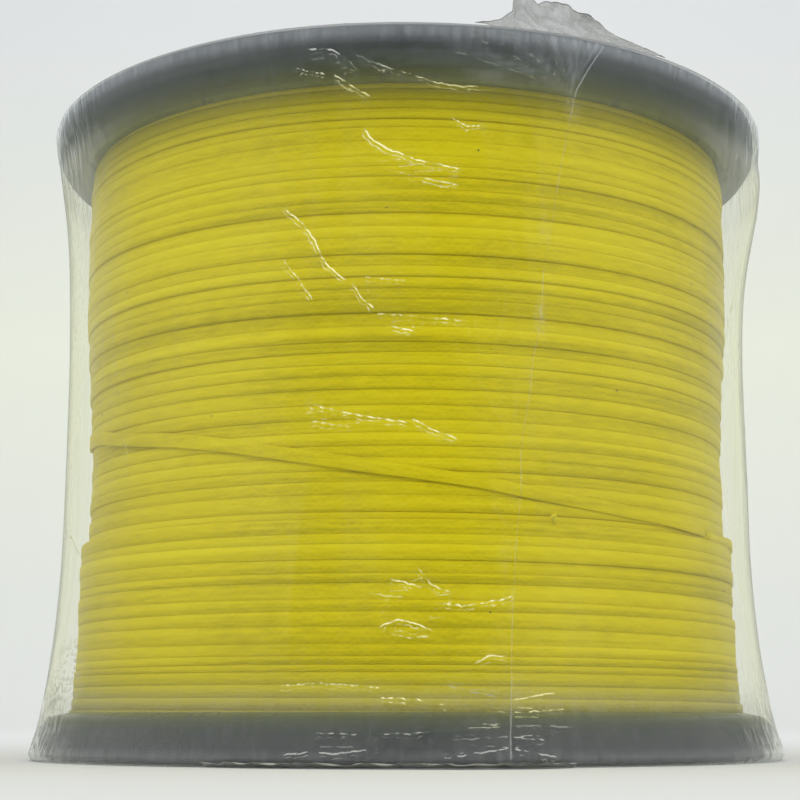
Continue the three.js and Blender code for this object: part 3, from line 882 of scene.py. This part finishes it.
def film_relief(azimuth, z):
    """How far the film stands off its smooth form, in mm: drape, folds, gathers at the rims and sharp creases."""
    around = azimuth / 360
    away = np.abs(2 * z / FILM_TOP - 1)
    height = z / MM
    drape = 0.30 * ring_noise(around, 9, height / 38, 101)
    drape = drape + 1.8 * np.exp(-(((azimuth - 86 + 180) % 360 - 180) / 30) ** 2 - ((height - 94) / 13) ** 2)
    # Long folds that fan out from the rims.
    slant = around + height / 5200 * ring_noise(around, 5, 0.5, 102)
    folds = ridge(ring_noise(slant, 34, height / 44, 103), 9)
    folds = folds * ease(0.1, 0.75, ring_noise(around, 7, height / 30, 104) + 0.45)
    crackle = ridge(noise(around * 46 + height / 19, height / 11, 105, wrap=46), 11)
    crackle = crackle * ease(0.15, 0.7, ring_noise(around, 11, height / 17, 106) + 0.2)
    gather = ease(0.62, 0.97, away)
    crowd = ease(-0.35, 0.4, ring_noise(around, 8, height / 60, 107))
    pleats = ridge(ring_noise(around, 170, height / 34, 108), 3.5)
    pleats = pleats * gather * (0.25 + 0.75 * crowd) * (0.12 + 0.88 * at_sides(azimuth))
    distance, strength = crease_field(azimuth, z)
    creases = 0.3 * np.clip(strength, 0, 1) * bell(distance, 0.5)
    return drape + 0.10 * folds + 0.09 * crackle + 0.34 * pleats + creases


def film_azimuths():
    """The sleeve's columns, closest together in front."""
    fine = np.linspace(-180, 180, 4001)
    climbed = climb(1 + 1.5 * ease(75, 35, np.abs(fine)))
    return np.interp(np.arange(FILM_COLUMNS) / FILM_COLUMNS * climbed[-1], climbed, fine)


def wrapped_radius(z):
    """The least radius of the film at a height: just clear of the flanges' rims and of the winding."""
    depth = np.minimum(z - LOWER_PLANE, UPPER_PLANE - z) / MM
    clear = np.interp(depth, [3.6, 5.2, 6.3, 6.9, 7.3], [60.0, 59.6, 58.8, 57.0, 56.0]) * MM + 0.2 * MM
    return np.where(depth > 1, clear, 0)


def film_haze(azimuth, z):
    """Haze, pleating and dust over the film."""
    height = z / MM
    around = azimuth / 360
    low, high = ease(16, 3, height), ease(86, 99, height)
    left = ease(-5, -60, azimuth)
    # Broad cloudy drifts and long streaks that lean with the seam.
    drift = np.clip(ring_noise(around, 22, height / 34, 131) + 0.25, 0, 1)
    lean = around + height / 9000
    streak = ridge(ring_noise(lean, 64, height / 60, 132), 3)
    streak = streak * ease(-0.2, 0.7, ring_noise(around, 13, height / 30, 133))
    haze = 0.010 * drift + 0.016 * streak + 0.016 * low + 0.012 * high + 0.006 * left
    # Extra haze in bands at the winding's upper and lower edges and at the film's foot is a painted glow that lifts the
    # shade there. It also thickens over the upper rim.
    haze += 0.03 * bell(height - 96, 1.8) + 0.08 * bell(height - 8.5, 2.2)
    haze += 0.012 * ease(98.5, 101, height)
    haze += 0.21 * ease(101.2, 103.4, height) * (1 - 0.45 * at_sides(azimuth))
    haze += 0.035 * ease(6.5, 3.5, height) + 0.07 * ease(2.6, 1.2, height)
    # At the sides it's seen at a slant, which veils the line there.
    between = ease(6, 12, height) * ease(99, 94, height) * (0.75 + 0.35 * ease(40, 70, height))
    haze += 0.09 * bell(off_seams(azimuth) - 61, 11) * between
    # Over the upper flange, streaks fan from the foot of the seam's upper end, and stop at the seam.
    across, up = seam_azimuth(z) - azimuth, height - 96
    direction = np.degrees(np.arctan2(up, np.maximum(across, 0.01)))
    veiled = ease(0, 0.7, across) * ease(29, 6, across) * ease(-3, 3, direction)
    wisps = ridge(noise(direction / 4.5, across / 14, 134), 2.5)
    wisps = wisps * ease(-0.4, 0.5, noise(direction / 6, across / 9, 137))
    haze += veiled * ease(95, 96.5, height) * (0.03 + 0.10 * wisps)
    # A faint doubled strip runs beside the seam.
    strip = bell(azimuth - seam_azimuth(z) + 0.2, 1.5)
    patches = np.clip(noise(height / 7, azimuth / 3, 135), 0, 1)
    haze += 0.06 * strip * patches * ease(96, 93, height)
    pleat = (ease(93, 99, height) + ease(12, 6, height)) * (
        0.5 + 0.5 * ease(-0.2, 0.4, ring_noise(around, 8, height / 60, 107)))
    on_rim = ease(104.6, 103.2, height) * ease(0.4, 1.6, height)
    pleat = np.clip(pleat * (0.04 + 0.96 * at_sides(azimuth)), 0, 1) * on_rim
    dust = ease(26, 6, height) * np.clip(0.5 + ring_noise(around, 31, height / 8, 136), 0, 1)
    on_left = ease(-45, -72, azimuth) * ease(-130, -105, azimuth)
    dust = dust * (0.04 + 0.96 * on_left) + 0.25 * strip * patches
    return haze, pleat, dust


def film_sleeve():
    whole = film_profile()
    length = path_length(whole)
    # The rows lie closer together round the rims.
    lap, bend = 17.5 / 144, 21 / 144  # shares of the profile's length
    stations = np.interp(np.arange(FILM_ROWS), [0, 13, 21, 88, 155, 163, 176],
                         length[-1] * np.array([0, lap, bend, 0.5, 1 - bend, 1 - lap, 1]))
    radius, z = (np.interp(stations, length, whole[:, i])[:, None] for i in (0, 1))
    azimuth = film_azimuths()[None, :]
    slope_r, slope_z = np.gradient(radius[:, 0]), np.gradient(z[:, 0])
    norm = np.hypot(slope_r, slope_z)
    out_r, out_z = (slope_z / norm)[:, None], (-slope_r / norm)[:, None]
    relief = film_relief(azimuth, z) * MM
    below_rims = (z > 1 * MM) & (z < FILM_TOP - 1 * MM)
    on_side = np.where(below_rims, 1, ease(59.3 * MM, 60.3 * MM, radius))
    near_rim = ease(0.82, 0.93, np.abs(2 * z / FILM_TOP - 1))
    relief = relief * (1 - near_rim) + 0.6 * above(relief, 0, 0.1 * MM) * near_rim
    # On the flanges' faces the film lies flat, but for radial puckers towards its opening.
    around = azimuth / 360
    inwards = ease(56 * MM, 43 * MM, radius)
    pucker = 0.35 * MM * ridge(ring_noise(around, 90, radius / MM / 18, 121), 3) * inwards
    puckered = (1 - on_side) * (z > MIDDLE) * pucker
    edge = (1.1 * ring_noise(around, 26, 0.5, 122) + 0.7 * ring_noise(around, 7, 0.5, 123)) * MM
    radius_all = radius + out_r * relief * on_side + edge * ease(46 * MM, 42 * MM, radius)
    radius_all = np.where(below_rims, above(radius_all, wrapped_radius(z), 0.12 * MM), radius_all)
    z_all = np.clip(z + out_z * relief * on_side + puckered * 0.6, 0.05 * MM, FILM_TOP - 0.02 * MM + puckered)
    z_all = np.minimum(z_all, FILM_TOP + 0.3 * MM)
    piece = grid_piece("film_sleeve", polar(azimuth, radius_all, z_all), wrap=True)
    # The upper rim has a painted dark outline: painted shade along the film's edge.
    painted_outline = 0.85 * ease(FILM_TOP - 1.1 * MM, FILM_TOP - 0.6 * MM, z) * ease(58.6 * MM, 59.4 * MM, radius)
    values = (*film_haze(azimuth, z + 0 * azimuth), painted_outline + 0 * azimuth, *crease_field(azimuth, z))
    for key, value in zip(("haze", "pleat", "dust", "painted_outline", "crease_distance", "crease"), values):
        paint(piece, key, value)
    return piece


def film_surface(azimuth, z):
    """The film's radius on its side, with its relief."""
    side = film_profile()[LAP_POINTS:-LAP_POINTS]
    return above(np.interp(z, side[:, 1], side[:, 0]) + film_relief(azimuth, z) * MM, wrapped_radius(z), 0.12 * MM)


sleeve = film_sleeve()
show(sleeve, clear_film, "shrink_film")


def seam(name, turn):
    """The weld: an uneven melted bead, clear where it lies over the winding and milky where it spans the flanges."""
    z = np.linspace(1.2 * MM, FILM_TOP - 1.3 * MM, 900)
    azimuth = seam_azimuth(z) + 0.35 * noise(z / MM / 9, 0.5, 140 + turn)
    firm = np.maximum(ease(94.5, 97, z / MM), ease(9, 6.5, z / MM))
    knots = ridge(noise(z / MM / 1.3, 2.5, 142 + turn), 5)
    swell = 0.02 * np.abs(noise(z / MM / 2.1, 0.5, 141 + turn))
    half = (0.035 + 0.05 * firm + swell + (0.02 + 0.04 * firm) * knots) * MM
    radius = film_surface(azimuth, z) + 0.03 * MM
    piece = tube(name, azimuth + turn, radius, z, half, half * (0.12 + 0.5 * firm), squareness=2.0)
    dashes = ease(0.1, 0.5, noise(z / MM / 3.2, 4.5, 143 + turn))
    haze = 0.08 * firm + (1 - firm) * 0.10 * dashes
    paint(piece, "haze", np.repeat(haze, len(STRAND_ANGLES)))
    return piece


# The ear's ragged top: azimuth, and height over the film's top in mm.
EAR_OUTLINE = [
    (9.5, 0), (11.2, 0.3), (13.2, 1.0), (15.0, 2.6), (15.7, 6.6), (16.4, 7.6), (17.6, 7.9), (18.2, 5.0), (18.9, 4.2),
    (20.2, 4.9), (22.2, 4.7), (24.2, 4.1), (25.0, 4.2), (26.8, 3.8), (27.7, 3.5), (29.4, 2.2), (31.5, 1.3), (34.5, 0.8),
    (37.5, 0.4), (40.5, 0)]


def upper_ear(name, turn):
    """The film's loose corner on the upper rim: a crumpled fin that rises where the seam ends."""
    columns, rows = 190, 44
    azimuth = np.linspace(EAR_OUTLINE[0][0], EAR_OUTLINE[-1][0], columns)[None, :]
    share = np.linspace(0, 1, rows)[:, None]
    top = follow(EAR_OUTLINE, azimuth)
    top = top + 0.12 * noise(azimuth * 1.3, 0.5, 153 + turn)
    foot = 0.5 * MM * ease(0, 0.8, top)  # how far the fin starts below the film's top
    top = np.maximum(top, 0.02)
    z = FILM_TOP - foot + (foot + top * MM) * share
    up = np.clip((z - FILM_TOP) / (8 * MM), 0, 1)
    crumple = 0.9 * ridge(noise(azimuth / 4.6 + share * 0.8, share * 1.7, 150 + turn), 3) - 0.5
    crumple += 0.5 * noise(azimuth / 2.2, share * 3.1, 151 + turn)
    crumple += 0.8 * noise(azimuth / 9, share, 152 + turn)
    lean = 0.4 + 2.6 * up**1.2
    radius = FILM_RIM_RADIUS + (crumple * np.minimum(1, 0.05 + 2.2 * up) - lean) * MM
    piece = grid_piece(name, polar(azimuth + turn + 0 * share, radius, z))
    to_top = (1 - share) * (foot / MM + top)
    wisps = ridge(noise(azimuth / 2.6 + share * 2, share * 2.2, 154 + turn), 4)
    veins = ridge(noise(azimuth / 3.3 - share, share * 1.6, 155 + turn), 9)
    # Painted shade: a dark outline along its ragged top and dark lines along its folds.
    paint(piece, "painted_outline", 0.9 * ease(0.32, 0.05, to_top) + 0.35 * veins)
    paint(piece, "haze", 0.1 + 0.3 * wisps + 0 * share)
    return piece


# The flap's outer edge: azimuth, and the share of its greatest reach.
FLAP_OUTLINE = [(-27, 0.02), (-20, 0.35), (-8, 0.6), (4, 0.82), (12, 1), (17, 0.75), (22, 0.02)]
FLAP_REACH = 5.4 * MM


def lower_flap(name, turn):
    """The film's loose corner under the lower rim, pressed flat where the spool stands."""
    columns, rows = 150, 16
    azimuth = np.linspace(FLAP_OUTLINE[0][0], FLAP_OUTLINE[-1][0], columns)[None, :]
    share = np.linspace(0, 1, rows)[:, None]
    reach = follow(FLAP_OUTLINE, azimuth) * FLAP_REACH
    radius = FILM_FOOT_RADIUS - 1.2 * MM + (reach + 1.0 * MM) * share
    wave = 0.25 + 0.5 * ridge(noise(azimuth / 3.4 + share, share * 1.5, 160 + turn), 3)
    z = (0.12 + 1.0 * wave * share**0.7) * MM
    piece = grid_piece(name, polar(azimuth + turn + 0 * share, radius, z))
    veins = ridge(noise(azimuth / 5, share * 3, 161 + turn), 8)
    # Painted shade: a dark outline along its outer edge and dark lines along its folds.
    paint(piece, "painted_outline", 0.9 * ease(0.88, 0.98, share) + 0.3 * veins)
    paint(piece, "haze", 0.45 * ridge(noise(azimuth / 8, share * 2.5, 162 + turn), 3))
    return piece


def thicken(piece, thickness):
    modifier = piece.modifiers.new("thickness", "SOLIDIFY")
    modifier.thickness = thickness
    modifier.offset = 0
    return apply_modifiers(piece)


for side, turn in (("front", 0), ("rear", 180)):
    show(seam(f"{side}_weld_bead", turn), welded_film, f"{side}_film_seam")
    for make, part, node in ((upper_ear, "upper_ear", "upper_film_ear"), (lower_flap, "lower_flap", "lower_film_flap")):
        piece = thicken(make(f"{side}_{part}", turn), FILM_THICKNESS)
        show(piece, loose_film, f"{side}_{node}")


# ---- studio ----

def backdrop():
    """A pale floor that curves up into a backdrop behind the spool."""
    half_width, front, back, rise, bend = 4.0, -5.0, 1.6, 2.2, 0.7
    profile = [(front, 0.0), (0.0, 0.0), (back - bend, 0.0)]
    for angle in np.linspace(0, math.pi / 2, 16)[1:]:
        profile.append((back - bend + bend * math.sin(angle), bend - bend * math.cos(angle)))
    profile.append((back, rise))
    points = np.array([[(x, y, z) for x in np.linspace(-half_width, half_width, 9)] for y, z in profile])
    piece = grid_piece("studio_backdrop", points)
    piece.data.materials.append(backdrop_material())


def area_light(name, location, target, size, power):
    light = bpy.data.lights.new(name, "AREA")
    light.shape = "RECTANGLE"
    light.size, light.size_y = size
    light.energy = power
    lamp = new_object(name, light)
    lamp.location = location
    x, y, z = np.array(target) - np.array(location)
    lamp.rotation_euler = (math.acos(-z / math.hypot(x, y, z)), 0, math.atan2(-x, y))
    return lamp


def studio_lights():
    """A softbox in front, weak strips at the sides and a light on the backdrop. The room gives the soft light."""
    middle = (0, 0, 0.05)
    in_front = [
        area_light("front_softbox", (0, -0.75, 0.66), middle, (0.6, 0.35), 2.8),
        area_light("left_strip", (-0.9, -0.3, 0.14), middle, (0.3, 0.5), 0.15),
        area_light("right_strip", (0.9, -0.35, 0.14), middle, (0.3, 0.5), 0.33)]
    for lamp in in_front:
        lamp.visible_glossy = False  # the film shows no hard-edged reflection of them
    area_light("backdrop_light", (0, 0.2, 0.95), (0, 1.6, 0.6), (1.8, 0.3), 6.1)


ROOM_LIGHT = 1.0


def world_light():
    """An even pale room, dim behind the camera, where a dark room shows no reflection in the film."""
    n = Nodes(bpy.data.worlds.new("studio_room"))
    tilt = math.radians(-5)
    towards = n.result("ShaderNodeVectorMath", {
        0: n.place("Generated"), 1: (0, -math.cos(tilt), math.sin(tilt))}, "Value", operation="DOT_PRODUCT")
    colour = towards.ramp((math.cos(math.radians(55)), (0.98, 1.0, 0.99)),
                          (math.cos(math.radians(9)), (0.13, 0.14, 0.15)), interpolation="EASE")
    room = n.result("ShaderNodeBackground", {"Color": colour, "Strength": ROOM_LIGHT})
    bpy.context.scene.world = n.done(room, "ShaderNodeOutputWorld")


def camera():
    """Close to the surface that the spool stands on, 0.3 m from its axis, looking slightly up."""
    lens = bpy.data.cameras.new("camera")
    lens.lens, lens.sensor_width = 78.3, 36
    lens.shift_x = -0.0078
    lens.clip_start = 0.01
    eye = new_object("camera", lens)
    eye.location = (0, -0.295, 6.3 * MM)
    eye.rotation_euler = (math.radians(90 + 10.43), 0, 0)
    bpy.context.scene.camera = eye


backdrop()
studio_lights()
world_light()
camera()
bpy.context.scene.view_settings.view_transform = "Standard"
